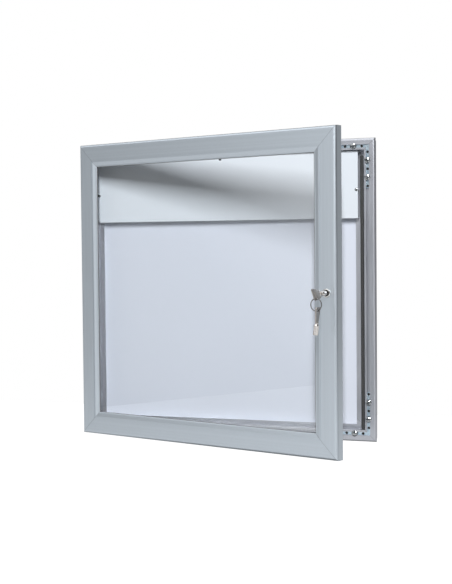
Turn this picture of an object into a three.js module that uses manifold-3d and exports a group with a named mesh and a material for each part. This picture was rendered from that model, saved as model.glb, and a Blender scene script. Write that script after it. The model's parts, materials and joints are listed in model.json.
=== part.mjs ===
import * as THREE from 'three';
import { mergeVertices } from 'three/addons/utils/BufferGeometryUtils.js';
import Module from 'manifold-3d';

// Lockable notice board for a wall: a shallow aluminium case with a glazed door hinged on its left.
// Millimetres, +Z up. The front faces -Y and the origin is the middle of the flat back.
// The case frame runs x from the case's left edge, y back from its front rim, z from its lower edge.

const wasm = await Module();
wasm.setup();

// Case
const caseWidth = 616;
const caseHeight = 592;
const caseDepth = 28;

// Section of the case frame, from its outer edge inwards and from its front rim backwards
const outerLip = 12.4;
const slotMouth = 6.2;
const innerLip = 4;
const lipThickness = 3;
const lipRounding = 4.2;
const lipSkirt = 5;
const hingeSideSkirt = 17;
const sideRecess = 4;
const slotUndercut = 3.2;
const slotDepth = 6.6;
const caseWall = 1.5;
const innerLipChamfer = 0.6;
const tubeWidth = 7.8;
const ledgeFromBack = 8;
const ledgeDepth = caseDepth - ledgeFromBack;
const ledgeThickness = 1.6;
const ledgeWidth = 8.4;
const lockLedgeWidth = 20.6;
const mitreGap = 0.1;
const railWidth = outerLip + slotMouth + innerLip;
const slotCentre = outerLip + slotMouth / 2;

// Fits between pieces
const seatGap = 0.1;
const slidingGap = 0.3;
const turningGap = 0.15;
const overrun = 2;

// Panels of the case
const displayThickness = 1.5;
const backThickness = 1.5;
const panelRebate = 12;
const keyholeHead = 5;
const keyholeNeck = 2.6;
const keyholeDrop = 14;
const keyholeFromSide = 88;
const keyholeFromTop = 60;

// Header panel
const headerHeight = 131;
const headerTopGap = 1.3;
const headerSideGap = 0.7;
const headerLockGap = 13.3;
const headerFace = 7;
const headerThickness = 1.2;
const headerFoldGap = 0.4;
const headerScrewHead = 3.1;
const headerScrewHeadHeight = 1.4;
const headerScrewShank = 1.5;
const headerScrewHole = 1.9;
const headerScrewReach = 7;
const spacerRadius = 3.4;
const headerSideScrewDrop = 75.4;
const headerMiddleScrewDrop = 7.3;
const headerMiddleScrewShare = 0.482;

// Black strip down the lock side
const stripWidth = 8.4;
const stripFront = 3.6;
const stripTopGap = 10.5;

// Corner brackets and their screws
const bracketArm = 97;
const bracketWidth = 12;
const bracketThickness = 3;
const bracketChamfer = 5;
const bracketHoleFirst = 27;
const bracketHolePitch = 16.5;
const bracketHoleCount = 5;
const bracketHoleRadius = 2.75;
const screwHead = 6;
const screwHeadHeight = 2.9;
const screwShank = 2.4;
const screwLength = 6;

// Door
const doorLockOverlap = 4.8;
const doorTopOverlap = 6;
const doorBottomOverlap = 4;
const doorWidth = caseWidth + doorLockOverlap;
const doorHeight = caseHeight + doorTopOverlap + doorBottomOverlap;
const doorThickness = 20.6;
const doorClosedGap = 0.5;
const doorAjar = THREE.MathUtils.degToRad(17);

// Section of the door frame, from its outer edge inwards and from its front face backwards
const doorRail = 46.4;
const doorWall = 1.6;
const doorSideWall = 2.2;
const doorFrontRounding = 6;
const doorBackChamfer = 1;
const faceWidth = 34;
const faceLine = 0.9;
const faceLineDepth = 0.5;
const bevelStart = 37;
const bevelEnd = 43.8;
const bevelDrop = 1.8;
const windowLipDepth = 3.8;
const windowLipChamfer = 0.6;
const rebateWidth = 14.1;
const channelClearance = 0.5;
const channelDepth = 9;

// Glazing
const paneThickness = 4;
const paneEdgeGap = 1.5;
const gasketThickness = 0.8;
const gasketWidth = 8;
const gasketLip = 0.7;
const beadWidth = 6.4;
const beadNose = 4;
const beadWall = 1.4;
const beadDepth = 9.6;

// Corner cleats inside the door frame
const cleatArm = 48;
const cleatThickness = 5;

// Hinge down the left side
const hingeBarrel = 2.55;
const hingePinRadius = 1.2;
const hingePinOut = 2.75;
const hingeLeafThickness = 1;
const hingeEndGap = 16;
const hingeLength = caseHeight - 2 * hingeEndGap;
const hingeKnuckles = 14;
const knuckleGap = 0.6;
const leafWidth = 15;
const leafStart = 2.6;
const tabStart = 0.5;
const rivetFromPin = 9;
const rivetHead = 2.2;
const rivetHeadHeight = 0.8;
const rivetShank = 1.1;
const rivetLength = 3.6;
const rivetShares = [0.125, 0.875];

// Lock
const lockAboveMiddle = 1.2;
const lockHeadRadius = 8.2;
const lockHeadHeight = 3.2;
const lockHeadRounding = 1.4;
const barrelRadius = 7.2;
const barrelLength = 16.5;
const barrelEndWall = 1.5;
const plugRadius = 6;
const plugNose = 1.4;
const plugPost = 3.3;
const plugPostSetBack = 0.6;
const keyGroove = 5;
const keyGrooveDepth = 8;
const nutAcrossFlats = 16.4;
const nutThickness = 3.4;
const camRadius = 6.1;
const camWidth = 5.2;
const camThickness = 2.6;
const camStem = 2.6;
const camSpigot = 1.6;
const camReach = 3.3;
const camRecess = 1.4;
const camScrewHead = 2.7;
const camScrewHeadHeight = 1.2;
const camScrewShank = 1;
const camScrewLength = 7;
const keyTurn = THREE.MathUtils.degToRad(-20);

// Keys and ring
const keyLength = 50;
const keyInserted = 7;
const keyTube = 4.7;
const keyTubeBore = 3.6;
const keyTubeBoreDepth = 9.5;
const keyTubeLength = 20;
const keyTubeChamfer = 0.5;
const keyShoulder = 3;
const keyNeck = 2.9;
const keyNeckLength = 5;
const keyNeckBead = 3.7;
const keyLugReach = 5.7;
const keyLugWidth = 1.4;
const keyLugLength = 4.5;
const keyNotchWidth = 2;
const keyBowNearUpper = 6.5;
const keyBowNearLower = 7.5;
const keyBowFarUpper = 9.5;
const keyBowFarLower = 12.5;
const keyBowThickness = 2.2;
const keyBowCorner = 2;
const keyBowLowerCorner = 3;
const keySlotRadius = 1.9;
const keySlotUpper = 2;
const keySlotLower = 8.6;
const keySlotEdge = 4.6;
const ringRadius = 11.2;
const ringWire = 0.95;
const spareTurn = THREE.MathUtils.degToRad(20);
const spareLean = THREE.MathUtils.degToRad(7);
const spareYaw = THREE.MathUtils.degToRad(12);

// Facets of round pieces
const fineSteps = 32;
const roundSteps = 24;
const smallSteps = 16;
const rivetSteps = 12;
const holeSteps = 6;
const quarterSteps = 5;
const ringSteps = 40;
const wireSteps = 8;

// Solids

function solidOf(geometry) {
  if (geometry instanceof wasm.Manifold) {
    return geometry;
  }
  const bare = geometry.clone();
  bare.deleteAttribute('normal');
  bare.deleteAttribute('uv');
  const merged = mergeVertices(bare, 1e-4);
  const corners = merged.index.array;
  const kept = [];
  for (let at = 0; at < corners.length; at += 3) {
    const [first, second, third] = corners.slice(at, at + 3);
    if (first !== second && second !== third && third !== first) {
      kept.push(first, second, third);
    }
  }
  const vertProperties = Float32Array.from(merged.attributes.position.array);
  const triVerts = Uint32Array.from(kept);
  return new wasm.Manifold(new wasm.Mesh({ numProp: 3, vertProperties, triVerts }));
}

function geometryOf(solid) {
  const mesh = solid.getMesh();
  const geometry = new THREE.BufferGeometry();
  geometry.setAttribute('position', new THREE.BufferAttribute(mesh.vertProperties, 3));
  geometry.setIndex(new THREE.BufferAttribute(mesh.triVerts, 1));
  return geometry;
}

function cut(body, ...tools) {
  return tools.reduce((left, tool) => left.subtract(solidOf(tool)), solidOf(body));
}

function join(...bodies) {
  return bodies.map(solidOf).reduce((sum, body) => sum.add(body));
}

function shared(first, second) {
  return solidOf(first).intersect(solidOf(second));
}

// A box given by its lowest and highest corners
function boxBetween(low, high) {
  const size = high.map((value, axis) => value - low[axis]);
  const middle = high.map((value, axis) => (value + low[axis]) / 2);
  return new THREE.BoxGeometry(...size).translate(...middle);
}

// A turned piece on the Y axis, from radius and place pairs along +Y
function turned(profile, steps = roundSteps) {
  const points = profile.map(([radius, along]) => new THREE.Vector2(radius, along));
  return new THREE.LatheGeometry(points, steps);
}

function rod(radius, start, end, steps = roundSteps) {
  return turned([[0, start], [radius, start], [radius, end], [0, end]], steps);
}

function shapeOf(points) {
  return new THREE.Shape(points.map(([x, y]) => new THREE.Vector2(x, y)));
}

// A quarter round between two faces, as points about its centre
function quarterRound(centre, radius, startTurn, steps = quarterSteps) {
  const points = [];
  for (let step = 0; step <= steps; step += 1) {
    const angle = (startTurn + step / steps) * Math.PI / 2;
    points.push([centre[0] + radius * Math.cos(angle), centre[1] + radius * Math.sin(angle)]);
  }
  return points;
}

// A plate drawn in x and z, with its front face at y = front
function plate(shape, front, thickness, steps = holeSteps) {
  const geometry = new THREE.ExtrudeGeometry(shape, {
    depth: thickness, bevelEnabled: false, curveSegments: steps,
  });
  return geometry.rotateX(Math.PI / 2).translate(0, front + thickness, 0);
}

function rectangle(left, bottom, right, top) {
  return shapeOf([[left, bottom], [right, bottom], [right, top], [left, top]]);
}

function circlePath(x, z, radius) {
  const path = new THREE.Path();
  path.absarc(x, z, radius, 0, Math.PI * 2, true);
  return path;
}

// A frame length with both ends mitred. The section is drawn as depth back and distance inwards,
// and the length lies along +X with its outer edge on z = 0.
function mitredLength(section, length) {
  const geometry = new THREE.ExtrudeGeometry(section, { depth: 1, bevelEnabled: false, steps: 1 });
  const position = geometry.attributes.position;
  for (let index = 0; index < position.count; index += 1) {
    const depth = position.getX(index);
    const inward = position.getY(index);
    const atStart = position.getZ(index) < 1 / 2;
    const along = atStart ? inward + mitreGap / 2 : length - inward - mitreGap / 2;
    position.setXYZ(index, along, depth, inward);
  }
  return geometry;
}

// Materials
const anodised = { color: 0xb4bac0, roughness: 0.42, metalness: 0.85 };
const zinc = { color: 0xb4c8d2, roughness: 0.35, metalness: 0.9 };
const steel = { color: 0xc9c8c4, roughness: 0.25, metalness: 1 };
const chrome = { color: 0xe6e6e4, roughness: 0.08, metalness: 1 };
const nickel = { color: 0xb3aeaa, roughness: 0.38, metalness: 0.9 };
const enamel = { color: 0xdfe3ec, roughness: 0.4, metalness: 0 };
const silverSheet = { color: 0xdce4ea, roughness: 0.3, metalness: 0.3 };
const blackRubber = { color: 0x2c2d2e, roughness: 0.6, metalness: 0 };
const greyRubber = { color: 0x6f7377, roughness: 0.7, metalness: 0 };
const backSheet = { color: 0xa9adb0, roughness: 0.5, metalness: 0.6 };
const blackPlastic = { color: 0x26282a, roughness: 0.6, metalness: 0 };
const clear = { color: 0xe9f2f2, roughness: 0.03, metalness: 0, transparent: true, opacity: 0.3 };

function piece(parent, name, geometry, look) {
  const body = geometryOf(solidOf(geometry));
  const mesh = new THREE.Mesh(body, new THREE.MeshStandardMaterial(look));
  mesh.name = name;
  parent.add(mesh);
  return mesh;
}

const noticeBoard = new THREE.Group();
const caseGroup = new THREE.Group();
caseGroup.position.set(-caseWidth / 2, -caseDepth, -caseHeight / 2);
noticeBoard.add(caseGroup);

// The four lengths of a frame, turned about Y in quarter turns
function frameSides(width, height) {
  return [
    { side: 'bottom', length: width, x: 0, z: 0, turn: 0 },
    { side: 'right', length: height, x: width, z: 0, turn: -Math.PI / 2 },
    { side: 'top', length: width, x: width, z: height, turn: Math.PI },
    { side: 'left', length: height, x: 0, z: height, turn: Math.PI / 2 },
  ];
}

const backSeat = caseDepth - backThickness - seatGap;

function caseSection(skirt) {
  const slotStart = outerLip - slotUndercut;
  const slotEnd = outerLip + slotMouth + slotUndercut;
  const tubeInner = sideRecess + tubeWidth;
  const ledgeBack = ledgeDepth + ledgeThickness;
  const section = shapeOf([
    [0, outerLip],
    ...quarterRound([lipRounding, lipRounding], lipRounding, 2),
    [skirt, 0],
    [skirt, sideRecess],
    [caseDepth, sideRecess],
    [caseDepth, sideRecess + caseWall],
    [backSeat, sideRecess + caseWall],
    [backSeat, tubeInner],
    [slotDepth + caseWall, tubeInner],
    [slotDepth + caseWall, slotEnd],
    [ledgeBack, slotEnd],
    [ledgeBack, railWidth + ledgeWidth],
    [ledgeDepth, railWidth + ledgeWidth],
    [ledgeDepth, railWidth],
    [innerLipChamfer, railWidth],
    [0, railWidth - innerLipChamfer],
    [0, outerLip + slotMouth],
    [lipThickness, outerLip + slotMouth],
    [lipThickness, slotEnd],
    [slotDepth, slotEnd],
    [slotDepth, slotStart],
    [lipThickness, slotStart],
    [lipThickness, outerLip],
  ]);
  section.holes.push(new THREE.Path([
    [slotDepth + caseWall, sideRecess + caseWall],
    [backSeat - caseWall, sideRecess + caseWall],
    [backSeat - caseWall, tubeInner - caseWall],
    [slotDepth + caseWall, tubeInner - caseWall],
  ].map(([x, y]) => new THREE.Vector2(x, y))));
  return section;
}

function addCaseFrame() {
  const names = {
    bottom: 'case_bottom_rail',
    right: 'case_lock_side_stile',
    top: 'case_top_rail',
    left: 'case_hinge_side_stile',
  };
  for (const { side, length, x, z, turn } of frameSides(caseWidth, caseHeight)) {
    const skirt = side === 'left' ? hingeSideSkirt : lipSkirt;
    let geometry = mitredLength(caseSection(skirt), length);
    if (side === 'right') {
      const end = railWidth + ledgeWidth + mitreGap;
      const wideLedge = boxBetween(
        [end, ledgeDepth, railWidth],
        [length - end, ledgeDepth + ledgeThickness, railWidth + lockLedgeWidth],
      );
      geometry = join(geometry, wideLedge);
    }
    if (side === 'left') {
      const places = rivetHeights().map((height) => [caseHeight - height, rivetFromPin - doorClosedGap / 2]);
      geometry = cut(geometry, ...places.map(([along, depth]) => rivetHole(along, depth)));
    }
    const mesh = piece(caseGroup, names[side], geometry, anodised);
    mesh.position.set(x, 0, z);
    mesh.rotation.y = turn;
  }
}

// Brackets: one in each corner of the front slot
function bracketShape() {
  const low = slotCentre - bracketWidth / 2;
  const high = slotCentre + bracketWidth / 2;
  const shape = shapeOf([
    [low + bracketChamfer, low],
    [bracketArm, low],
    [bracketArm, high],
    [high, high],
    [high, bracketArm],
    [low, bracketArm],
    [low, low + bracketChamfer],
  ]);
  for (let hole = 0; hole < bracketHoleCount; hole += 1) {
    const along = bracketHoleFirst + hole * bracketHolePitch;
    shape.holes.push(circlePath(along, slotCentre, bracketHoleRadius));
    shape.holes.push(circlePath(slotCentre, along, bracketHoleRadius));
  }
  return shape;
}

function screwGeometry(headRadius, headHeight, shankRadius, length, steps = smallSteps) {
  const domeShares = [[1, 0], [1, 0.3], [0.86, 0.68], [0.55, 0.92], [0, 1]];
  const dome = domeShares.map(([radiusShare, heightShare]) => (
    [radiusShare * headRadius, -heightShare * headHeight]
  ));
  return turned([...dome.reverse(), [shankRadius, 0], [shankRadius, length], [0, length]], steps);
}

function addBrackets() {
  const corners = [
    { name: 'lower_left', x: 0, z: 0, turn: 0 },
    { name: 'lower_right', x: caseWidth, z: 0, turn: -Math.PI / 2 },
    { name: 'upper_right', x: caseWidth, z: caseHeight, turn: Math.PI },
    { name: 'upper_left', x: 0, z: caseHeight, turn: Math.PI / 2 },
  ];
  const screwedHoles = [1, 3];
  for (const corner of corners) {
    const holder = new THREE.Group();
    holder.position.set(corner.x, 0, corner.z);
    holder.rotation.y = corner.turn;
    caseGroup.add(holder);
    const front = lipThickness + seatGap;
    const bracket = plate(bracketShape(), front, bracketThickness);
    piece(holder, `corner_bracket_${corner.name}`, bracket, zinc);
    let number = 1;
    for (const hole of screwedHoles) {
      const along = bracketHoleFirst + hole * bracketHolePitch;
      for (const [x, z] of [[along, slotCentre], [slotCentre, along]]) {
        const geometry = screwGeometry(screwHead, screwHeadHeight, screwShank, screwLength);
        const screw = piece(holder, `bracket_screw_${corner.name}_${number}`, geometry, steel);
        screw.position.set(x, -seatGap / 2, z);
        number += 1;
      }
    }
  }
}

// Panels behind the ledge
function keyholePath(x, z) {
  const path = new THREE.Path();
  const neckTurn = Math.asin(keyholeNeck / keyholeHead);
  path.absarc(x, z, keyholeHead, Math.PI / 2 + neckTurn, Math.PI / 2 - neckTurn + Math.PI * 2, false);
  path.absarc(x, z + keyholeDrop, keyholeNeck, 0, Math.PI, false);
  path.closePath();
  return path;
}

function keyholePlaces() {
  const z = caseHeight - keyholeFromTop;
  return [keyholeFromSide, caseWidth - keyholeFromSide].map((x) => [x, z]);
}

function addPanels() {
  const displayFront = ledgeDepth + ledgeThickness + seatGap;
  const low = panelRebate;
  const face = rectangle(low, low, caseWidth - low, caseHeight - low);
  piece(caseGroup, 'display_panel', plate(face, displayFront, displayThickness), enamel);

  const backEdge = sideRecess + caseWall + seatGap;
  const back = rectangle(backEdge, backEdge, caseWidth - backEdge, caseHeight - backEdge);
  for (const [x, z] of keyholePlaces()) {
    back.holes.push(keyholePath(x, z));
  }
  const backFront = caseDepth - backThickness;
  piece(caseGroup, 'back_panel', plate(back, backFront, backThickness), backSheet);
}

// Header panel on three spacers, with its lower edge folded back
function addHeader() {
  const left = railWidth + headerSideGap;
  const right = caseWidth - railWidth - headerLockGap;
  const top = caseHeight - railWidth - headerTopGap;
  const bottom = top - headerHeight;
  const face = rectangle(left, bottom, right, top);
  const sideScrew = top - headerSideScrewDrop;
  const places = [
    ['left', railWidth + ledgeWidth / 2, sideScrew],
    ['right', right - spacerRadius, sideScrew],
    ['middle', headerMiddleScrewShare * caseWidth, top - headerMiddleScrewDrop],
  ];
  for (const [, x, z] of places) {
    face.holes.push(circlePath(x, z, headerScrewHole));
  }
  const sheet = plate(face, headerFace, headerThickness);
  const foldBack = ledgeDepth - headerFoldGap;
  const fold = boxBetween([left, headerFace, bottom], [right, foldBack, bottom + headerThickness]);
  piece(caseGroup, 'header_panel', join(sheet, fold), silverSheet);
  const spacerFront = headerFace + headerThickness + seatGap;
  for (const [name, x, z] of places) {
    const spacer = turned([
      [headerScrewHole, spacerFront],
      [spacerRadius, spacerFront],
      [spacerRadius, ledgeDepth - seatGap],
      [headerScrewHole, ledgeDepth - seatGap],
      [headerScrewHole, spacerFront],
    ], smallSteps);
    piece(caseGroup, `header_spacer_${name}`, spacer, steel).position.set(x, 0, z);
    const screw = screwGeometry(
      headerScrewHead, headerScrewHeadHeight, headerScrewShank, headerScrewReach,
    );
    const mesh = piece(caseGroup, `header_screw_${name}`, screw, steel);
    mesh.position.set(x, headerFace - seatGap / 2, z);
  }
}

// Black half-round strip on the wide ledge of the lock side, short of the top and rounded there
function addLockStrip() {
  const inner = railWidth + slidingGap;
  const outer = inner + stripWidth;
  const back = ledgeDepth - seatGap;
  const length = caseHeight - 2 * (railWidth + slidingGap) - stripTopGap;
  const round = stripWidth / 2;
  const centre = [stripFront + round, inner + round];
  const section = shapeOf([
    [back, inner],
    ...quarterRound(centre, round, 2).reverse(),
    ...quarterRound(centre, round, 1).reverse().slice(1),
    [back, outer],
  ]);
  const bar = new THREE.ExtrudeGeometry(section, { depth: length, bevelEnabled: false });
  bar.rotateZ(Math.PI / 2);
  const outline = shapeOf([
    [-inner, 0],
    ...quarterRound([-inner - round, length - round], round, 0),
    ...quarterRound([-inner - round, length - round], round, 1).slice(1),
    [-outer, 0],
  ]);
  const strip = piece(caseGroup, 'lock_side_strip', shared(bar, plate(outline, 0, caseDepth)), blackRubber);
  strip.position.set(caseWidth, 0, inner);
}

// Door: swung on the hinge pin, then measured from its left edge, front face and lower edge
const hinge = new THREE.Group();
hinge.position.set(-hingePinOut, -doorClosedGap / 2, -doorBottomOverlap);
hinge.rotation.z = -doorAjar;
caseGroup.add(hinge);
const doorGroup = new THREE.Group();
doorGroup.position.set(hingePinOut, -doorClosedGap / 2 - doorThickness, 0);
hinge.add(doorGroup);

const channelFloor = doorThickness - channelDepth;
const rebateStart = doorRail - rebateWidth;
const lockEdge = slotCentre + doorLockOverlap;
const lockHeight = doorHeight / 2 + lockAboveMiddle;
const channelStart = slotCentre - screwHead - channelClearance;
const channelEnd = lockEdge + nutAcrossFlats / 2 + channelClearance;
const barrelHole = barrelRadius + 2 * seatGap;

function doorSection() {
  const section = shapeOf([
    [0, faceWidth],
    ...quarterRound([doorFrontRounding, doorFrontRounding], doorFrontRounding, 2),
    [doorThickness - doorBackChamfer, 0],
    [doorThickness, doorBackChamfer],
    [doorThickness, channelStart],
    [channelFloor, channelStart],
    [channelFloor, channelEnd],
    [doorThickness, channelEnd],
    [doorThickness, rebateStart],
    [windowLipDepth, rebateStart],
    [windowLipDepth, doorRail],
    [bevelDrop + windowLipChamfer, doorRail],
    [bevelDrop, doorRail - windowLipChamfer],
    [bevelDrop, bevelEnd],
    [0, bevelStart],
    [0, faceWidth + faceLine],
    [faceLineDepth, faceWidth + faceLine],
    [faceLineDepth, faceWidth],
  ]);
  const chamberBack = channelFloor - doorWall;
  const frontChamber = [
    ...quarterRound([doorFrontRounding, doorFrontRounding], doorFrontRounding - doorWall, 2),
    [chamberBack, doorWall],
    [chamberBack, rebateStart - doorWall],
    [doorWall, rebateStart - doorWall],
  ];
  const backEnd = doorThickness - doorSideWall;
  const backChamber = [
    [channelFloor, doorSideWall],
    [backEnd, doorSideWall],
    [backEnd, channelStart - doorWall],
    [channelFloor, channelStart - doorWall],
  ];
  for (const corners of [frontChamber, backChamber]) {
    section.holes.push(new THREE.Path(corners.map(([x, y]) => new THREE.Vector2(x, y))));
  }
  return section;
}

function rivetHeights() {
  return rivetShares.map((share) => hingeEndGap + share * hingeLength);
}

function rivetHole(along, depth) {
  const reach = rivetLength + overrun;
  const hole = rod(rivetShank + seatGap, -reach, reach, smallSteps).rotateX(Math.PI / 2);
  return hole.translate(along, depth, 0);
}

function addDoorFrame() {
  const names = {
    bottom: 'door_bottom_rail',
    right: 'door_lock_side_stile',
    top: 'door_top_rail',
    left: 'door_hinge_side_stile',
  };
  for (const { side, length, x, z, turn } of frameSides(doorWidth, doorHeight)) {
    let geometry = mitredLength(doorSection(), length);
    if (side === 'right') {
      const hole = rod(barrelHole, -overrun, doorThickness).translate(lockHeight, 0, lockEdge);
      geometry = cut(geometry, hole);
    }
    if (side === 'left') {
      const depth = doorThickness + doorClosedGap / 2 - rivetFromPin;
      const places = rivetHeights().map((height) => doorHeight - doorBottomOverlap - height);
      geometry = cut(geometry, ...places.map((along) => rivetHole(along, depth)));
    }
    const mesh = piece(doorGroup, names[side], geometry, anodised);
    mesh.position.set(x, 0, z);
    mesh.rotation.y = turn;
  }
}

function ringShape(outer, inner) {
  const shape = rectangle(outer, outer, doorWidth - outer, doorHeight - outer);
  const right = doorWidth - inner;
  const top = doorHeight - inner;
  const corners = [[inner, inner], [inner, top], [right, top], [right, inner]];
  shape.holes.push(new THREE.Path(corners.map(([x, z]) => new THREE.Vector2(x, z))));
  return shape;
}

function addGlazing() {
  const gasketEdge = doorRail + seatGap;
  const gasketFront = windowLipDepth + seatGap;
  const gasketBack = gasketFront + gasketThickness;
  const lipFront = bevelDrop + windowLipChamfer;
  const gasketInner = gasketEdge + gasketLip;
  const sheet = plate(ringShape(gasketEdge - gasketWidth, gasketInner), gasketFront, gasketThickness);
  const lip = plate(ringShape(gasketEdge, gasketInner), lipFront, gasketBack - lipFront);
  piece(doorGroup, 'glazing_gasket', join(sheet, lip), greyRubber);
  const paneFront = gasketBack + seatGap;
  const edge = rebateStart + paneEdgeGap;
  const pane = rectangle(edge, edge, doorWidth - edge, doorHeight - edge);
  piece(doorGroup, 'door_pane', plate(pane, paneFront, paneThickness), clear);
  const beadFront = paneFront + paneThickness + seatGap;
  const outer = rebateStart + seatGap;
  const nose = plate(ringShape(outer, outer + beadWidth), beadFront, beadNose);
  const wall = plate(ringShape(outer, outer + beadWall), beadFront, beadDepth);
  piece(doorGroup, 'glazing_bead', join(nose, wall), blackPlastic);
}

function addCleats() {
  const low = channelStart + slidingGap;
  const high = channelEnd - slidingGap;
  const shape = shapeOf([
    [low, low], [low + cleatArm, low], [low + cleatArm, high],
    [high, high], [high, low + cleatArm], [low, low + cleatArm],
  ]);
  const corners = [
    ['lower_left', 0, 0, 0],
    ['lower_right', doorWidth, 0, -Math.PI / 2],
    ['upper_right', doorWidth, doorHeight, Math.PI],
    ['upper_left', 0, doorHeight, Math.PI / 2],
  ];
  for (const [name, x, z, turn] of corners) {
    const geometry = plate(shape, channelFloor + seatGap, cleatThickness);
    const mesh = piece(doorGroup, `door_corner_cleat_${name}`, geometry, zinc);
    mesh.position.set(x, 0, z);
    mesh.rotation.y = turn;
  }
}

// A hinge leaf beside the pin, with every other knuckle on it. The pin is the Z axis and the
// leaf reaches along +Y when side is 1 and along -Y when it is -1.
function hingeLeaf(side, firstKnuckle) {
  const pitch = hingeLength / hingeKnuckles;
  const outerFace = hingePinOut - seatGap - hingeLeafThickness;
  const innerFace = hingePinOut - seatGap;
  const span = (start, end) => [Math.min(side * start, side * end), Math.max(side * start, side * end)];
  const [plateLow, plateHigh] = span(leafStart, leafWidth);
  const [tabLow, tabHigh] = span(tabStart, leafStart + seatGap);
  const bodies = [boxBetween([outerFace, plateLow, 0], [innerFace, plateHigh, hingeLength])];
  const bore = hingePinRadius + turningGap;
  for (let knuckle = firstKnuckle; knuckle < hingeKnuckles; knuckle += 2) {
    const low = knuckle * pitch + knuckleGap / 2;
    const high = (knuckle + 1) * pitch - knuckleGap / 2;
    const profile = [[bore, low], [hingeBarrel, low], [hingeBarrel, high], [bore, high], [bore, low]];
    bodies.push(turned(profile, smallSteps).rotateX(Math.PI / 2));
    bodies.push(boxBetween([outerFace, tabLow, low], [innerFace, tabHigh, high]));
  }
  const holes = rivetShares.map((share) => {
    const hole = rod(rivetShank + seatGap, -overrun, hingePinOut + overrun, smallSteps);
    return hole.rotateZ(-Math.PI / 2).translate(0, side * rivetFromPin, share * hingeLength);
  });
  return cut(join(...bodies), ...holes);
}

function addHinge() {
  const fixed = new THREE.Group();
  fixed.position.set(-hingePinOut, -doorClosedGap / 2, hingeEndGap);
  caseGroup.add(fixed);
  const swung = new THREE.Group();
  swung.position.z = doorBottomOverlap + hingeEndGap;
  hinge.add(swung);
  piece(fixed, 'hinge_case_leaf', hingeLeaf(1, 0), anodised);
  piece(swung, 'hinge_door_leaf', hingeLeaf(-1, 1), anodised);
  const pin = rod(hingePinRadius, 0, hingeLength, smallSteps).rotateX(Math.PI / 2);
  piece(fixed, 'hinge_pin', pin, steel);
  for (const [holder, name, side] of [[fixed, 'case', 1], [swung, 'door', -1]]) {
    rivetShares.forEach((share, index) => {
      const rivet = screwGeometry(rivetHead, rivetHeadHeight, rivetShank, rivetLength, rivetSteps);
      rivet.rotateZ(-Math.PI / 2);
      const mesh = piece(holder, `hinge_rivet_${name}_${index + 1}`, rivet, steel);
      const headSeat = hingePinOut - 2 * seatGap - hingeLeafThickness;
      mesh.position.set(headSeat, side * rivetFromPin, share * hingeLength);
    });
  }
}

// Lock: the cam lies upright in the case's slot and is turned across under its lips
const lockGroup = new THREE.Group();
lockGroup.position.set(doorWidth - lockEdge, 0, lockHeight);
doorGroup.add(lockGroup);
const lockFront = -lockHeadHeight - seatGap;
const plugFront = lockFront - plugNose;
const camFront = doorThickness + doorClosedGap + camReach;
const camBack = camFront + camThickness;

function addLock() {
  const bore = plugRadius + turningGap;
  const spigotBore = camSpigot + turningGap;
  const rounding = quarterRound([lockHeadRadius - lockHeadRounding, lockFront + lockHeadRounding],
    lockHeadRounding, 3);
  const barrel = turned([
    [bore, lockFront],
    ...rounding,
    [lockHeadRadius, -seatGap],
    [barrelRadius, -seatGap],
    [barrelRadius, barrelLength],
    [spigotBore, barrelLength],
    [spigotBore, barrelLength - barrelEndWall],
    [bore, barrelLength - barrelEndWall],
    [bore, lockFront],
  ], fineSteps);
  piece(lockGroup, 'lock_barrel', barrel, chrome);

  const nutShape = new THREE.Shape();
  const nutCorner = nutAcrossFlats / 2 / Math.cos(Math.PI / 6);
  for (let corner = 0; corner < 6; corner += 1) {
    const angle = Math.PI / 6 + corner * Math.PI / 3;
    const place = [nutCorner * Math.cos(angle), nutCorner * Math.sin(angle)];
    if (corner === 0) {
      nutShape.moveTo(...place);
    } else {
      nutShape.lineTo(...place);
    }
  }
  nutShape.closePath();
  nutShape.holes.push(circlePath(0, 0, barrelRadius + seatGap));
  const nut = plate(nutShape, channelFloor + seatGap, nutThickness, smallSteps);
  piece(lockGroup, 'lock_nut', nut, zinc);

  const plugBack = barrelLength - barrelEndWall - turningGap;
  const spigotEnd = camBack - camRecess;
  const grooveEnd = plugFront + keyGrooveDepth;
  const screwHole = camScrewShank + seatGap;
  const plug = turned([
    [0, plugFront + plugPostSetBack],
    [plugPost, plugFront + plugPostSetBack],
    [plugPost, grooveEnd],
    [keyGroove, grooveEnd],
    [keyGroove, plugFront],
    [plugRadius, plugFront],
    [plugRadius, plugBack],
    [camSpigot, plugBack],
    [camSpigot, spigotEnd],
    [screwHole, spigotEnd],
    [screwHole, spigotEnd - camScrewLength - seatGap],
    [0, spigotEnd - camScrewLength - seatGap],
  ]);
  const notch = boxBetween(
    [-keyNotchWidth / 2, plugFront - overrun, plugPost + seatGap],
    [keyNotchWidth / 2, grooveEnd, plugRadius + overrun],
  );
  piece(lockGroup, 'lock_plug', cut(plug, notch), chrome).rotation.y = keyTurn;

  const endTurn = Math.acos(camWidth / 2 / camRadius);
  const camShape = new THREE.Shape();
  camShape.absarc(0, 0, camRadius, endTurn, Math.PI - endTurn, false);
  camShape.absarc(0, 0, camRadius, Math.PI + endTurn, Math.PI * 2 - endTurn, false);
  camShape.closePath();
  const stemStart = barrelLength + turningGap;
  const stem = rod(camStem, stemStart, camFront + seatGap);
  const through = rod(camSpigot + seatGap, stemStart - overrun, camBack + overrun);
  const recess = rod(camScrewHead + seatGap, spigotEnd, camBack + overrun);
  const cam = cut(join(stem, plate(camShape, camFront, camThickness)), through, recess);
  piece(lockGroup, 'lock_cam', cam, zinc);
  const screw = screwGeometry(camScrewHead, camScrewHeadHeight, camScrewShank, camScrewLength);
  const mesh = piece(lockGroup, 'lock_cam_screw', screw, steel);
  mesh.rotation.x = Math.PI;
  mesh.position.y = spigotEnd + seatGap;
}

// A tubular key. It points along +Y and the mouth of the lock is at y = 0.
const keyBowEnd = keyInserted - keyLength;
const keyBowStart = keyInserted - keyTubeLength - keyNeckLength;
const keySlotPlace = keyBowEnd + keySlotEdge + keySlotRadius;

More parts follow.
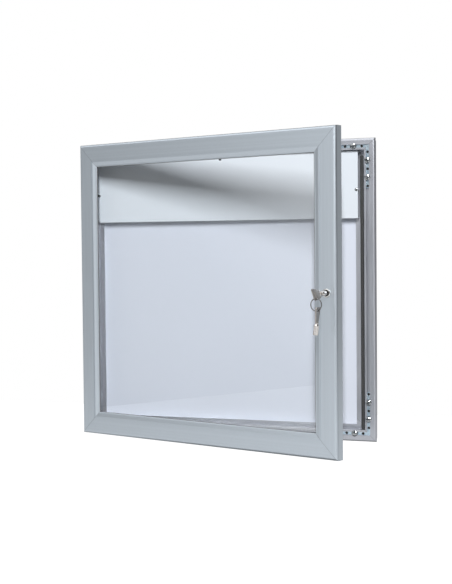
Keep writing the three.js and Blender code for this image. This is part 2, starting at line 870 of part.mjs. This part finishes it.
function keyGeometry() {
  const tubeStart = keyBowStart + keyNeckLength;
  const beadHalf = keyNeckBead - keyNeck;
  const beadPlace = keyBowStart + keyNeckLength / 2;
  const tube = turned([
    [0, keyBowStart],
    [keyNeck, keyBowStart],
    [keyNeck, beadPlace - beadHalf],
    [keyNeckBead, beadPlace],
    [keyNeck, beadPlace + beadHalf],
    [keyNeck, tubeStart],
    [keyTube, tubeStart + keyShoulder],
    [keyTube, keyInserted - keyTubeChamfer],
    [keyTube - keyTubeChamfer, keyInserted],
    [keyTubeBore, keyInserted],
    [keyTubeBore, keyInserted - keyTubeBoreDepth],
    [0, keyInserted - keyTubeBoreDepth],
  ]);
  const lugEnd = keyInserted - keyTubeChamfer;
  const lug = boxBetween(
    [-keyLugWidth / 2, lugEnd - keyLugLength, keyTubeBore + seatGap],
    [keyLugWidth / 2, lugEnd, keyLugReach],
  );
  const near = keyBowStart + seatGap;
  const bow = shapeOf([
    [near, -keyBowNearLower],
    [near, keyBowNearUpper],
    [keyBowEnd + keyBowCorner, keyBowFarUpper],
    [keyBowEnd, keyBowFarUpper - keyBowCorner],
    [keyBowEnd, keyBowLowerCorner - keyBowFarLower],
    [keyBowEnd + keyBowLowerCorner, -keyBowFarLower],
  ]);
  const slot = new THREE.Path();
  slot.absarc(keySlotPlace, keySlotUpper, keySlotRadius, 0, Math.PI, false);
  slot.absarc(keySlotPlace, -keySlotLower, keySlotRadius, Math.PI, Math.PI * 2, false);
  slot.closePath();
  bow.holes.push(slot);
  const flat = new THREE.ExtrudeGeometry(bow, {
    depth: keyBowThickness, bevelEnabled: false, curveSegments: holeSteps,
  });
  flat.translate(0, 0, -keyBowThickness / 2);
  flat.applyMatrix4(new THREE.Matrix4().makeBasis(
    new THREE.Vector3(0, 1, 0), new THREE.Vector3(0, 0, 1), new THREE.Vector3(1, 0, 0),
  ));
  return join(tube, lug, flat);
}

function addKeys() {
  const holder = new THREE.Group();
  holder.position.y = plugFront;
  lockGroup.add(holder);
  piece(holder, 'key', keyGeometry(), nickel).rotation.y = keyTurn;

  const hangX = -keySlotLower * Math.sin(keyTurn);
  const hangZ = -keySlotLower * Math.cos(keyTurn);
  const ring = new THREE.TorusGeometry(ringRadius, ringWire, wireSteps, ringSteps).rotateX(Math.PI / 2);
  const ringMesh = piece(holder, 'key_ring', ring, steel);
  ringMesh.position.set(hangX, keySlotPlace, hangZ - ringRadius);

  const spareHolder = new THREE.Group();
  holder.add(spareHolder);
  piece(spareHolder, 'spare_key', keyGeometry(), nickel).position.y = -keySlotPlace;
  const spareX = hangX + ringRadius * Math.sin(spareTurn);
  const spareZ = hangZ - ringRadius - ringRadius * Math.cos(spareTurn);
  spareHolder.position.set(spareX, keySlotPlace, spareZ);
  spareHolder.rotation.set(-Math.PI / 2, spareLean, spareYaw, 'ZYX');
}

addCaseFrame();
addBrackets();
addPanels();
addHeader();
addLockStrip();
addDoorFrame();
addGlazing();
addCleats();
addHinge();
addLock();
addKeys();

export default noticeBoard;
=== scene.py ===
"""Lockable notice board in a white studio: dressed CAD model, lights and camera."""
import json
import math

import bmesh
import bpy
from mathutils import Matrix, Vector


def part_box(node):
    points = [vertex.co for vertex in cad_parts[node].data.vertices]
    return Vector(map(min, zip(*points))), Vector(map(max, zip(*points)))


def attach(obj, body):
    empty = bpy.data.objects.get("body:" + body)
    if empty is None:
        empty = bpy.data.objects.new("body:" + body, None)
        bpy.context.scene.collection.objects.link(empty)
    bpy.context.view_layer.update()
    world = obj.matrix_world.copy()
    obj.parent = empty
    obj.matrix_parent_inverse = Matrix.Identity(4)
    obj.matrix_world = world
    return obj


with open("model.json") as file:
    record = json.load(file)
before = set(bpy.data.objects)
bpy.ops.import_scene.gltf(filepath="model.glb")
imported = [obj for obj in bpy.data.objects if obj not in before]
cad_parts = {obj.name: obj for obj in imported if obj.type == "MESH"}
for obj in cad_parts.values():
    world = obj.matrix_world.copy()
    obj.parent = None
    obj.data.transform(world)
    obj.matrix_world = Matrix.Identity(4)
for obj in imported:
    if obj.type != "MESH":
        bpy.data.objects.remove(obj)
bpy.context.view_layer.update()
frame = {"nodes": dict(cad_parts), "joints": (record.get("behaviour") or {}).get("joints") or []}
joints = {joint["name"]: joint for joint in frame["joints"]}
materials = {}

UP = (0.0, 0.0, 1.0)
SIDEWAYS = (1.0, 0.0, 0.0)
WHITE = (1.0, 1.0, 1.0, 1.0)

# Camera, as fitted to the photograph. It looks to the back and turns left by its heading
CAMERA_PLACE = (0.7728, -2.2512, 0.0800)
CAMERA_HEADING = math.radians(19.158)
CAMERA_PITCH = math.radians(-2.04)
CAMERA_ROLL = math.radians(-0.53)
LENS = 71.62
SENSOR = 36.0

# Floor: its place, its paint, and how brightly it glows in each kind of ray, with a painted
# shadow underneath the object in what metal mirrors
FLOOR_DROP = 0.9
FLOOR_SPREAD = 4.5
FLOOR_GREY = (0.35, 0.35, 0.35)
FLOOR_ROUGHNESS = 0.8
FLOOR_LOOKED_AT = 0.97
FLOOR_IN_METAL = 0.85
# Darker glow underneath the object, seen in metal: painted shadow
FLOOR_UNDERNEATH_PAINTED_SHADOW = 0.08
UNDERNEATH_NEAR = 0.5
UNDERNEATH_FAR = 1.3

# White behind the object, and the fill that lights it from all round
BACKGROUND = 1.0
FILL = 0.1

# Lamp
LAMP_HEADING = math.radians(16.5)
LAMP_ELEVATION = math.radians(32.5)
LAMP_DISTANCE = 5.5
LAMP_WIDTH = 0.35
LAMP_HEIGHT = 2.04
LAMP_POWER = 330.0

# What metal mirrors: a dim room with soft bright panels. Each has a heading from the object's
# front, an elevation, the angle of its even middle, the angle where it ends, and a brightness
DIM_ROOM = 0.07
PANELS = [
    (-35, 9, 9, 26, 1.3),
    (-25, 0, 30, 55, 0.5),
    (-88, 0, 12, 26, 0.65),
    (-42, 68, 32, 50, 1.7),
    (127, 0, 20, 42, 0.47),
    (-143, 0, 16, 36, 0.9),
    (26, 0, 8, 22, 0.9),
]

# Span of a noise's values that a look is spread over, and how far roughness strays with it
NOISE_LOW = 0.3
NOISE_HIGH = 0.7
ROUGHNESS_SPREAD = 0.03

# Anodised aluminium, with the scale of its die lines and grain and the depth of its relief
DOOR_ALUMINIUM = (0.46, 0.51, 0.56)
CASE_ALUMINIUM = (0.44, 0.455, 0.495)
ANODISED_METAL = 0.9
ANODISED_ROUGHNESS = 0.34
ANODISED_DARKEST = 0.975
ANODISED_LIGHTEST = 1.02
DIE_LINE_SCALE = 180.0
DIE_LINE_DETAIL = 3.0
DIE_LINE_SHARE = 0.6
GRAIN_ALONG = 14.0
GRAIN_ACROSS = 700.0
GRAIN_SHARE = 0.4
ANODISED_RELIEF = 0.000006

# Dark line at a mitre: its half width, where it has faded out, and its shade
MITRE_CORE = 0.0002
MITRE_REACH = 0.0007
MITRE_SHADE = 0.6

# Plated steel
PLATED_METAL = 0.95
PLATED_SPREAD = 0.04
PLATED_RELIEF = 0.00001
PLATED_PEEL_SCALE = 600.0
POLISHED_PEEL_SCALE = 900.0
CLOUD_TO_PEEL = 0.25

# Keys, with distances from the hole for the ring. The tube's colour is lighter than the bow's, as
# a painted highlight
KEY_BOW = (0.32, 0.303, 0.29)
KEY_TUBE_PAINTED_HIGHLIGHT = (0.64, 0.615, 0.595)
KEY_BOW_ROUGHNESS = 0.3
KEY_TUBE_ROUGHNESS = 0.2
KEY_NECK_START = 0.021
KEY_NECK_END = 0.024

# Coated sheet
COATED_DARKEST = 0.985
COATED_PEEL_SCALE = 420.0
COATED_CLOUD_SCALE = 3.0
COATED_RELIEF = 0.00002

# Clear pane
PANE_COLOUR = (0.985, 0.99, 0.99)
PANE_INDEX = 1.45
PANE_LETS_THROUGH = (0.94, 0.95, 0.955, 1.0)

# Open bracket holes, measured from the outer edges of a bracket, and the black screws in them,
# whose black paints the shade of deep holes
CORNERS = ("lower_left", "lower_right", "upper_right", "upper_left")
ARM_CENTRE = 0.006
HOLE_FIRST = 0.0175
HOLE_PITCH = 0.0165
OPEN_HOLES = (0, 2, 4)
GRUB_SUNK = 0.0003
GRUB_RADIUS = 0.00262
GRUB_LENGTH = 0.0025
GRUB_BEVEL = 0.0003
SOCKET_FLAT = 0.0013
SOCKET_DEPTH = 0.0015
GRUB_SIDES = 24

DOOR_STILES = ["door_hinge_side_stile", "door_lock_side_stile"]
DOOR_RAILS = ["door_bottom_rail", "door_top_rail"]
CASE_STILES = ["case_hinge_side_stile", "case_lock_side_stile"]
CASE_RAILS = ["case_bottom_rail", "case_top_rail"]


def add_camera():
    data = bpy.data.cameras.new("camera")
    data.lens = LENS
    data.sensor_width = SENSOR
    camera = bpy.data.objects.new("camera", data)
    bpy.context.scene.collection.objects.link(camera)
    heading = Matrix.Rotation(CAMERA_HEADING, 4, "Z")
    pitch = Matrix.Rotation(math.pi / 2 + CAMERA_PITCH, 4, "X")
    roll = Matrix.Rotation(CAMERA_ROLL, 4, "Z")
    camera.matrix_world = Matrix.Translation(CAMERA_PLACE) @ heading @ pitch @ roll
    bpy.context.scene.camera = camera


class Nodes:
    """A node tree, with short calls. A value is a number, a vector or another node's socket."""

    def __init__(self, tree):
        self.tree = tree
        tree.nodes.clear()

    def add(self, kind, **settings):
        node = self.tree.nodes.new(kind)
        for name, setting in settings.items():
            setattr(node, name, setting)
        return node

    def feed(self, target, value):
        if isinstance(value, bpy.types.NodeSocket):
            self.tree.links.new(value, target)
        else:
            target.default_value = value

    def reckon(self, kind, result, operation, values):
        node = self.add(kind, operation=operation)
        for target, value in zip(node.inputs, values):
            self.feed(target, value)
        return node.outputs[result]

    def number(self, operation, *values):
        """A number worked out from numbers."""
        return self.reckon("ShaderNodeMath", "Value", operation, values)

    def measure(self, operation, *values):
        """A number worked out from vectors."""
        return self.reckon("ShaderNodeVectorMath", "Value", operation, values)

    def product(self, *values):
        """Two vectors multiplied part by part."""
        return self.reckon("ShaderNodeVectorMath", "Vector", "MULTIPLY", values)

    def mapped(self, value, start, end, at_start=0.0, at_end=1.0, **settings):
        """The value's place between a start and an end, as a number between two others."""
        node = self.add("ShaderNodeMapRange", **settings)
        self.feed(node.inputs["Value"], value)
        node.inputs["From Min"].default_value = start
        node.inputs["From Max"].default_value = end
        node.inputs["To Min"].default_value = at_start
        node.inputs["To Max"].default_value = at_end
        return node.outputs["Result"]

    def mixed(self, factor, first, second, data_type="FLOAT", socket_type="VALUE"):
        """The first value where the factor is 0, and the second where it is 1."""
        node = self.add("ShaderNodeMix", data_type=data_type)
        self.feed(node.inputs["Factor"], factor)
        targets = [socket for socket in node.inputs if socket.type == socket_type][-2:]
        for target, value in zip(targets, (first, second)):
            self.feed(target, value)
        return next(socket for socket in node.outputs if socket.type == socket_type)

    def by_ray(self, looked_at, mirrored, elsewhere):
        """A value for rays from the camera or through glass, one for rays off metal, and one
        for all others."""
        path = self.add("ShaderNodeLightPath").outputs
        direct = self.number("MAXIMUM", path["Is Camera Ray"], path["Is Transmission Ray"])
        others = self.mixed(direct, elsewhere, looked_at)
        return self.mixed(path["Is Glossy Ray"], others, mirrored)


class Shader(Nodes):
    """A new material's nodes. The material is kept in materials, by its name."""

    def __init__(self, name):
        material = bpy.data.materials.new(name)
        material.use_nodes = True
        materials[name] = material
        super().__init__(material.node_tree)
        self.output = self.add("ShaderNodeOutputMaterial")
        self.place = self.add("ShaderNodeTexCoord").outputs["Object"]

    def principled(self, colour, metallic, roughness, **sockets):
        surface = self.add("ShaderNodeBsdfPrincipled")
        surface.inputs["Base Color"].default_value = (*colour, 1.0)
        surface.inputs["Metallic"].default_value = metallic
        surface.inputs["Roughness"].default_value = roughness
        for name, value in sockets.items():
            surface.inputs[name.replace("_", " ")].default_value = value
        self.feed(self.output.inputs["Surface"], surface.outputs["BSDF"])
        return surface

    def noise(self, vector, scale):
        node = self.add("ShaderNodeTexNoise")
        self.feed(node.inputs["Vector"], vector)
        node.inputs["Scale"].default_value = scale
        return node.outputs["Fac"]

    def die_lines(self, across):
        """Straight lines side by side along one direction."""
        node = self.add("ShaderNodeTexNoise", noise_dimensions="1D")
        self.feed(node.inputs["W"], self.measure("DOT_PRODUCT", self.place, across))
        node.inputs["Scale"].default_value = DIE_LINE_SCALE
        node.inputs["Detail"].default_value = DIE_LINE_DETAIL
        return node.outputs["Fac"]

    def between(self, noise, low, high):
        """A number that wanders from low to high with a noise."""
        return self.mapped(noise, NOISE_LOW, NOISE_HIGH, low, high)

    def colour(self, factor, first, second):
        """The first colour where the factor is 0, and the second where it is 1."""
        return self.mixed(factor, (*first, 1.0), (*second, 1.0), "RGBA", "RGBA")

    def tint(self, noise, dark, light):
        """A colour that wanders from dark to light with a noise."""
        return self.colour(self.between(noise, 0.0, 1.0), dark, light)

    def around(self, noise, roughness, spread=ROUGHNESS_SPREAD):
        """A roughness that wanders a little either way with a noise."""
        return self.between(noise, roughness - spread, roughness + spread)

    def bump(self, height, depth):
        node = self.add("ShaderNodeBump")
        self.feed(node.inputs["Height"], height)
        node.inputs["Distance"].default_value = depth
        return node.outputs["Normal"]

    def from_edge(self, axis, low, high):
        """Distance in from the nearer of two edges of a frame, along one axis."""
        along = self.measure("DOT_PRODUCT", self.place, axis)
        from_low = self.number("SUBTRACT", along, low)
        from_high = self.number("SUBTRACT", high, along)
        return self.number("MINIMUM", from_low, from_high)

    def mitred(self, colour, across, left, right, low, high):
        """The colour, darker where the nearest edges of the frame are equally far."""
        from_side = self.from_edge(across, left, right)
        from_end = self.from_edge(UP, low, high)
        gap = self.number("ABSOLUTE", self.number("SUBTRACT", from_side, from_end))
        return self.product(colour, self.mapped(gap, MITRE_CORE, MITRE_REACH, MITRE_SHADE, 1.0))


def shade(colour, share):
    return tuple(channel * share for channel in colour)


def anodised(name, colour, along, across, edges):
    """Satin anodised length, with faint die lines, a fine grain and a dark line at its mitres."""
    shader = Shader(name)
    surface = shader.principled(colour, ANODISED_METAL, ANODISED_ROUGHNESS)
    lines = shader.between(shader.die_lines(across), 0.0, DIE_LINE_SHARE)
    stretch = tuple(GRAIN_ALONG if part else GRAIN_ACROSS for part in along)
    noise = shader.noise(shader.product(shader.place, stretch), 1.0)
    relief = shader.number("ADD", lines, shader.between(noise, 0.0, GRAIN_SHARE))
    darkest = shade(colour, ANODISED_DARKEST)
    lightest = shade(colour, ANODISED_LIGHTEST)
    tinted = shader.mitred(shader.tint(relief, darkest, lightest), *edges)
    shader.feed(surface.inputs["Base Color"], tinted)
    shader.feed(surface.inputs["Roughness"], shader.around(noise, ANODISED_ROUGHNESS))
    shader.feed(surface.inputs["Normal"], shader.bump(relief, ANODISED_RELIEF))


def plated(name, dark, light, roughness, peel_scale=PLATED_PEEL_SCALE):
    """Plated steel with cloudy colour and a slight peel."""
    shader = Shader(name)
    surface = shader.principled(light, PLATED_METAL, roughness)
    cloud = shader.noise(shader.place, peel_scale * CLOUD_TO_PEEL)
    peel = shader.noise(shader.place, peel_scale)
    shader.feed(surface.inputs["Base Color"], shader.tint(cloud, dark, light))
    shader.feed(surface.inputs["Roughness"], shader.around(peel, roughness, PLATED_SPREAD))
    shader.feed(surface.inputs["Normal"], shader.bump(peel, PLATED_RELIEF))


def key_metal(name, ring_hole):
    """Satin nickel on a key's bow, and polished nickel from its neck to its tip, painted lighter
    there as a painted highlight.
    """
    shader = Shader(name)
    surface = shader.principled(KEY_BOW, PLATED_METAL, KEY_BOW_ROUGHNESS)
    away = shader.measure("DISTANCE", shader.place, ring_hole)
    past_neck = shader.mapped(away, KEY_NECK_START, KEY_NECK_END)
    polish = shader.mapped(past_neck, 0.0, 1.0, KEY_BOW_ROUGHNESS, KEY_TUBE_ROUGHNESS)
    # Lighter colour past the neck is a painted highlight; the lower roughness is the polish
    shader.feed(surface.inputs["Base Color"], shader.colour(past_neck, KEY_BOW, KEY_TUBE_PAINTED_HIGHLIGHT))
    shader.feed(surface.inputs["Roughness"], polish)


def coated(name, colour, roughness, metallic=0.0):
    """Sheet with a smooth coating and a faint orange peel."""
    shader = Shader(name)
    surface = shader.principled(colour, metallic, roughness)
    peel = shader.noise(shader.place, COATED_PEEL_SCALE)
    cloud = shader.noise(shader.place, COATED_CLOUD_SCALE)
    tinted = shader.tint(cloud, shade(colour, COATED_DARKEST), colour)
    shader.feed(surface.inputs["Base Color"], tinted)
    shader.feed(surface.inputs["Roughness"], shader.around(peel, roughness))
    shader.feed(surface.inputs["Normal"], shader.bump(peel, COATED_RELIEF))


def clear_pane(name):
    """Clear sheet that bends and mirrors light, and lets lamps through."""
    shader = Shader(name)
    glass = shader.principled(PANE_COLOUR, 0.0, 0.0, Transmission_Weight=1.0, IOR=PANE_INDEX)
    open_way = shader.add("ShaderNodeBsdfTransparent")
    open_way.inputs["Color"].default_value = PANE_LETS_THROUGH
    path = shader.add("ShaderNodeLightPath").outputs
    passed = shader.number("MAXIMUM", path["Is Shadow Ray"], path["Is Diffuse Ray"])
    either = shader.add("ShaderNodeMixShader")
    sources = (passed, glass.outputs["BSDF"], open_way.outputs["BSDF"])
    for target, source in zip(either.inputs, sources):
        shader.feed(target, source)
    shader.feed(shader.output.inputs["Surface"], either.outputs["Shader"])


def reach(nodes, axis):
    """Lowest and highest place of some CAD nodes along an axis, at rest."""
    meshes = [frame["nodes"][node].data for node in nodes]
    places = [vertex.co.dot(Vector(axis)) for mesh in meshes for vertex in mesh.vertices]
    return min(places), max(places)


def make_materials():
    """One material for each look."""
    ajar = -math.radians(joints["door_hinge"]["range_deg"][0])
    door_across = (math.cos(ajar), -math.sin(ajar), 0.0)
    door_edges = (door_across, *reach(DOOR_STILES, door_across), *reach(DOOR_RAILS, UP))
    case_edges = (SIDEWAYS, *reach(CASE_STILES, SIDEWAYS), *reach(CASE_RAILS, UP))
    anodised("door_stile", DOOR_ALUMINIUM, UP, door_across, door_edges)
    anodised("door_rail", DOOR_ALUMINIUM, SIDEWAYS, UP, door_edges)
    anodised("case_stile", CASE_ALUMINIUM, UP, SIDEWAYS, case_edges)
    anodised("case_rail", CASE_ALUMINIUM, SIDEWAYS, UP, case_edges)
    plated("bracket", dark=(0.40, 0.52, 0.62), light=(0.62, 0.73, 0.80), roughness=0.3)
    plated("cleat", dark=(0.44, 0.48, 0.52), light=(0.60, 0.64, 0.68), roughness=0.38)
    plated("screw", dark=(0.24, 0.255, 0.265), light=(0.36, 0.375, 0.385), roughness=0.12)
    plated("chrome", dark=(0.62, 0.62, 0.61), light=(0.70, 0.70, 0.69), roughness=0.05,
           peel_scale=POLISHED_PEEL_SCALE)
    # The lock plug's chrome is painted nearly black, as a painted dark reflection
    plated("dark_chrome", dark=(0.03, 0.03, 0.03), light=(0.06, 0.06, 0.06), roughness=0.08,
           peel_scale=POLISHED_PEEL_SCALE)
    key_metal("key", ring_hole=joints["key_ring_swing"]["pos_m"])
    key_metal("spare_key", ring_hole=joints["spare_key_swing"]["pos_m"])
    plated("wire", dark=(0.13, 0.13, 0.13), light=(0.24, 0.24, 0.24), roughness=0.3)
    coated("display", colour=(0.66, 0.70, 0.79), roughness=0.42)
    coated("header", colour=(0.69, 0.74, 0.80), roughness=0.45)
    coated("back", colour=(0.46, 0.48, 0.50), roughness=0.5, metallic=0.3)
    coated("strip", colour=(0.034, 0.035, 0.036), roughness=0.3)
    coated("gasket", colour=(0.16, 0.165, 0.17), roughness=0.5)
    coated("bead", colour=(0.02, 0.02, 0.021), roughness=0.5)
    # Near-black set screws in the bracket holes: painted shade of deep holes
    coated("grub_painted_hole_shade", colour=(0.012, 0.012, 0.013), roughness=0.4)
    clear_pane("pane")


# CAD nodes that have each look, by the starts of their names
LOOKS = {
    "door_stile": DOOR_STILES,
    "door_rail": DOOR_RAILS,
    "case_stile": [*CASE_STILES, "hinge_"],
    "case_rail": CASE_RAILS,
    "bracket": ["corner_bracket_"],
    "cleat": ["door_corner_cleat_", "lock_nut", "lock_cam"],
    "screw": ["bracket_screw_", "header_screw_", "header_spacer_", "hinge_pin", "hinge_rivet_",
              "lock_cam_screw"],
    "chrome": ["lock_barrel"],
    # Nearly black plug: painted dark reflection on chrome
    "dark_chrome": ["lock_plug"],
    "key": ["key"],
    "spare_key": ["spare_key"],
    "wire": ["key_ring"],
    "display": ["display_panel"],
    "header": ["header_panel"],
    "back": ["back_panel"],
    "strip": ["lock_side_strip"],
    "gasket": ["glazing_gasket"],
    "bead": ["glazing_bead"],
    "pane": ["door_pane"],
}


def look_of(node):
    """The look whose longest listed start fits the node's name."""
    fits = [(len(start), look) for look, starts in LOOKS.items() for start in starts
            if node.startswith(start)]
    return max(fits)[1]


def dress_nodes():
    for node, thing in frame["nodes"].items():
        thing.data.materials.clear()
        thing.data.materials.append(materials[look_of(node)])


def socket_radius(angle):
    """Distance from the middle to the edge of a six-sided socket, in one direction."""
    sixth = math.pi / 3
    return SOCKET_FLAT / math.cos(angle % sixth - sixth / 2)


def add_grub(shape, x, front, z):
    """A headless screw with a socket in its front end, set in a bracket hole."""
    angles = [2 * math.pi * side / GRUB_SIDES for side in range(GRUB_SIDES)]
    shank = [GRUB_RADIUS] * GRUB_SIDES
    end = [GRUB_RADIUS - GRUB_BEVEL] * GRUB_SIDES
    socket = [socket_radius(angle) for angle in angles]
    profile = [
        (GRUB_LENGTH, shank),
        (GRUB_BEVEL, shank),
        (0.0, end),
        (0.0, socket),
        (SOCKET_DEPTH, socket),
    ]
    rings = []
    for depth, radii in profile:
        ring = []
        for angle, radius in zip(angles, radii):
            across = radius * math.cos(angle)
            rise = radius * math.sin(angle)
            ring.append(shape.verts.new((x + across, front + depth, z + rise)))
        rings.append(ring)
    for near, far in zip(rings, rings[1:]):
        for side in range(GRUB_SIDES):
            after = (side + 1) % GRUB_SIDES
            shape.faces.new((near[side], near[after], far[after], far[side]))
    shape.faces.new(rings[0])
    shape.faces.new(rings[-1])


def add_hole_shade_grub_screws():
    """Black screws without heads in the bracket holes that have no round-headed screw; their
    black is painted shade of deep holes.
    """
    for corner in CORNERS:
        (left, front, low), (right, _, high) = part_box(f"corner_bracket_{corner}")
        side, inward = (right, -1) if corner.endswith("right") else (left, 1)
        end, upward = (high, -1) if corner.startswith("upper") else (low, 1)
        shape = bmesh.new()
        for hole in OPEN_HOLES:
            along = HOLE_FIRST + hole * HOLE_PITCH
            for across, rise in ((along, ARM_CENTRE), (ARM_CENTRE, along)):
                add_grub(shape, side + inward * across, front + GRUB_SUNK, end + upward * rise)
        bmesh.ops.recalc_face_normals(shape, faces=shape.faces)
        mesh = bpy.data.meshes.new(f"hole_shade_grub_screws_{corner}")
        shape.to_mesh(mesh)
        shape.free()
        mesh.materials.append(materials["grub_painted_hole_shade"])
        screws = bpy.data.objects.new(f"hole_shade_grub_screws_{corner}", mesh)
        bpy.context.scene.collection.objects.link(screws)
        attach(screws, "case")


def add_floor():
    """A floor that takes the object's shadow, glows where it is looked at or mirrored, and
    lights nothing else. Metal mirrors it darker underneath the object, as a painted shadow."""
    size = FLOOR_SPREAD
    mesh = bpy.data.meshes.new("floor")
    corners = [(-size, -size, 0), (size, -size, 0), (size, size, 0), (-size, size, 0)]
    mesh.from_pydata(corners, [], [(0, 1, 2, 3)])
    floor = bpy.data.objects.new("floor", mesh)
    floor.location = (0.0, 0.0, -FLOOR_DROP)
    bpy.context.scene.collection.objects.link(floor)
    shader = Shader("floor")
    surface = shader.principled(FLOOR_GREY, 0.0, FLOOR_ROUGHNESS, Emission_Color=WHITE)
    distance = shader.measure("LENGTH", shader.place)
    # Glow in metal, darker near the object as a painted shadow
    mirrored = shader.mapped(
        distance, UNDERNEATH_NEAR, UNDERNEATH_FAR, FLOOR_UNDERNEATH_PAINTED_SHADOW, FLOOR_IN_METAL
    )
    glow = shader.by_ray(FLOOR_LOOKED_AT, mirrored, 0.0)
    shader.feed(surface.inputs["Emission Strength"], glow)
    mesh.materials.append(materials["floor"])


def pointing(heading, elevation):
    """A direction from the object, by its heading from the front and its elevation."""
    level = math.cos(elevation)
    return Vector((math.sin(heading) * level, -math.cos(heading) * level, math.sin(elevation)))


def room_light(nodes):
    """The brightness of the studio in each direction, as polished metal mirrors it."""
    direction = nodes.add("ShaderNodeTexCoord").outputs["Generated"]
    brightness = DIM_ROOM
    for heading, elevation, middle, end, level in PANELS:
        centre = pointing(math.radians(heading), math.radians(elevation))
        toward = nodes.measure("DOT_PRODUCT", direction, centre)
        panel = nodes.mapped(
            toward, math.cos(math.radians(end)), math.cos(math.radians(middle)), DIM_ROOM, level,
            interpolation_type="SMOOTHSTEP",
        )
        brightness = nodes.number("MAXIMUM", brightness, panel)
    return brightness


def light_world():
    """White behind the object, the room in what metal mirrors, and a plain fill for the rest."""
    world = bpy.data.worlds.new("studio")
    bpy.context.scene.world = world
    world.use_nodes = True
    nodes = Nodes(world.node_tree)
    background = nodes.add("ShaderNodeBackground")
    background.inputs["Color"].default_value = WHITE
    strength = nodes.by_ray(BACKGROUND, room_light(nodes), FILL)
    nodes.feed(background.inputs["Strength"], strength)
    output = nodes.add("ShaderNodeOutputWorld")
    nodes.feed(output.inputs["Surface"], background.outputs["Background"])


def add_key_light():
    data = bpy.data.lights.new("key_light", "AREA")
    data.shape = "RECTANGLE"
    data.size = LAMP_WIDTH
    data.size_y = LAMP_HEIGHT
    data.energy = LAMP_POWER
    lamp = bpy.data.objects.new("key_light", data)
    bpy.context.scene.collection.objects.link(lamp)
    away = pointing(LAMP_HEADING, LAMP_ELEVATION)
    lamp.location = away * LAMP_DISTANCE
    lamp.rotation_euler = away.to_track_quat("Z", "Y").to_euler()


bpy.context.scene.view_settings.view_transform = "Standard"
make_materials()
add_camera()
dress_nodes()
add_hole_shade_grub_screws()
add_floor()
light_world()
add_key_light()
